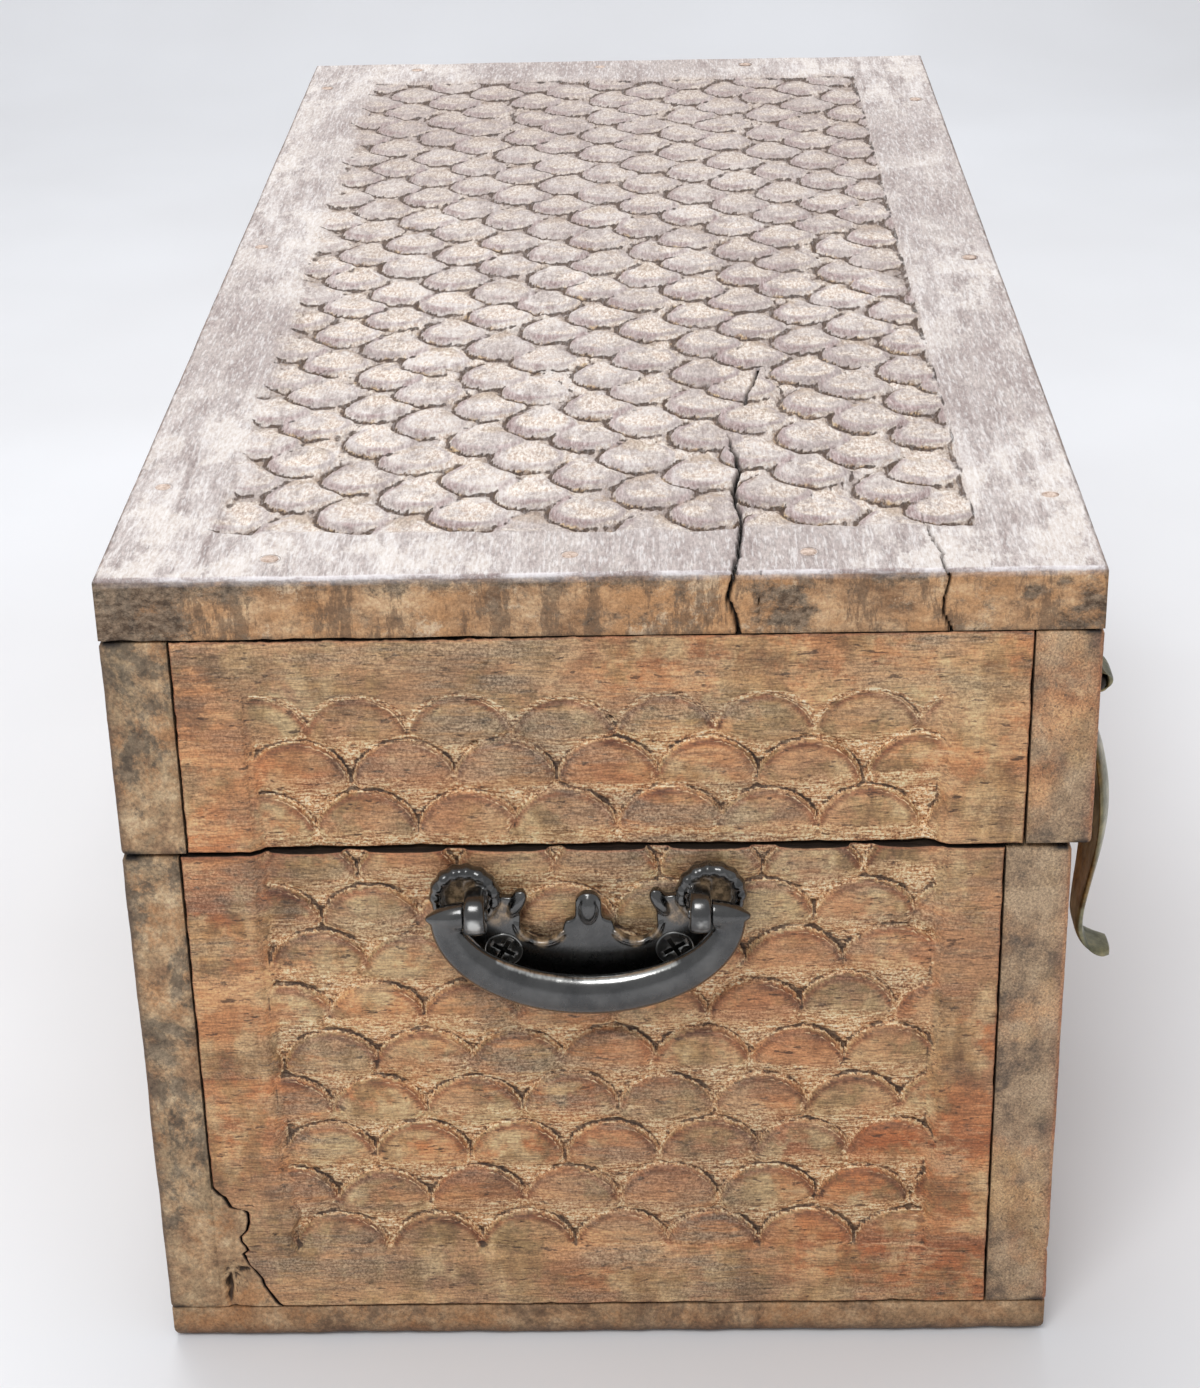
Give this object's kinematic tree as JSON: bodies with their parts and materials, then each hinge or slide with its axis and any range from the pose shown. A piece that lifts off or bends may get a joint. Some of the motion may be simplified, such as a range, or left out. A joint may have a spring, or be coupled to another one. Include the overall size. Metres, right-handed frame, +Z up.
{
  "type": "carved wooden storage chest",
  "caption": "Small lidded wooden chest with fish-scale carving, cast drop handles on the ends and leaf hasps on the front.",
  "frame": {"origin": "centre of the underside of the base board's footprint under the lid, on the surface that the chest rests on", "axes": "+X along the chest towards the right end, -Y towards the front with the hasps, +Z up"},
  "size_m": [0.5136, 0.2491, 0.2155],
  "materials": {
    "carved_wood": "dry, carved, red-brown with dark crevices",
    "worn_top_wood": "bleached and worn pale grey",
    "grey_edge_wood": "plain, weathered grey-brown",
    "peg_wood": "end grain",
    "cast_iron": "black, handled smooth on the raised parts",
    "steel_screw": "dark",
    "old_brass": "tarnished",
    "dark_iron": "rusty black"
  },
  "bodies": {
    "body": {"back_board": "grey_edge_wood", "base_board": "grey_edge_wood", "base_peg_1": "peg_wood", "base_peg_2": "peg_wood", "base_peg_3": "peg_wood", "base_peg_4": "peg_wood", "body_back_peg_1": "peg_wood", "body_back_peg_2": "peg_wood", "body_back_peg_3": "peg_wood", "body_back_peg_4": "peg_wood", "body_front_peg_1": "peg_wood", "body_front_peg_2": "peg_wood", "body_front_peg_3": "peg_wood", "body_front_peg_4": "peg_wood", "front_board": "carved_wood", "left_catch_stud": "old_brass", "left_end_board": "carved_wood", "left_handle_plate": "cast_iron", "left_handle_screw_1": "steel_screw", "left_handle_screw_2": "steel_screw", "left_hinge_body_leaf": "dark_iron", "left_hinge_pin": "dark_iron", "right_catch_stud": "old_brass", "right_end_board": "carved_wood", "right_handle_plate": "cast_iron", "right_handle_screw_1": "steel_screw", "right_handle_screw_2": "steel_screw", "right_hinge_body_leaf": "dark_iron", "right_hinge_pin": "dark_iron"},
    "lid": {"left_hasp_staple": "dark_iron", "left_hinge_lid_leaf": "dark_iron", "lid_back_peg_1": "peg_wood", "lid_back_peg_2": "peg_wood", "lid_back_rail": "grey_edge_wood", "lid_front_peg_1": "peg_wood", "lid_front_peg_2": "peg_wood", "lid_front_rail": "carved_wood", "lid_left_rail": "carved_wood", "lid_right_rail": "carved_wood", "lid_top_board": "worn_top_wood", "lid_top_peg_1": "peg_wood", "lid_top_peg_10": "peg_wood", "lid_top_peg_11": "peg_wood", "lid_top_peg_12": "peg_wood", "lid_top_peg_2": "peg_wood", "lid_top_peg_3": "peg_wood", "lid_top_peg_4": "peg_wood", "lid_top_peg_5": "peg_wood", "lid_top_peg_6": "peg_wood", "lid_top_peg_7": "peg_wood", "lid_top_peg_8": "peg_wood", "lid_top_peg_9": "peg_wood", "right_hasp_staple": "dark_iron", "right_hinge_lid_leaf": "dark_iron"},
    "left_bail": {"left_handle_bail": "cast_iron"},
    "right_bail": {"right_handle_bail": "cast_iron"},
    "left_hasp": {"left_hasp_strap": "old_brass"},
    "right_hasp": {"right_hasp_strap": "old_brass"}
  },
  "joints": [
    {"name": "lid_hinge", "type": "hinge", "parent": "body", "child": "lid", "pos_m": [0, 0.1185, 0.1438], "axis": [-1, 0, 0], "range_deg": [0, 180]},
    {"name": "left_bail_swing", "type": "hinge", "parent": "body", "child": "left_bail", "pos_m": [-0.2522, 0.0042, 0.1315], "axis": [0, 1, 0], "range_deg": [0, 170]},
    {"name": "right_bail_swing", "type": "hinge", "parent": "body", "child": "right_bail", "pos_m": [0.2522, 0.0042, 0.1315], "axis": [0, -1, 0], "range_deg": [0, 170]},
    {"name": "left_hasp_swing", "type": "hinge", "parent": "lid", "child": "left_hasp", "pos_m": [-0.21, -0.1192, 0.173], "axis": [-1, 0, 0], "range_deg": [0, 150]},
    {"name": "right_hasp_swing", "type": "hinge", "parent": "lid", "child": "right_hasp", "pos_m": [0.21, -0.1192, 0.173], "axis": [-1, 0, 0], "range_deg": [0, 150]}
  ]
}
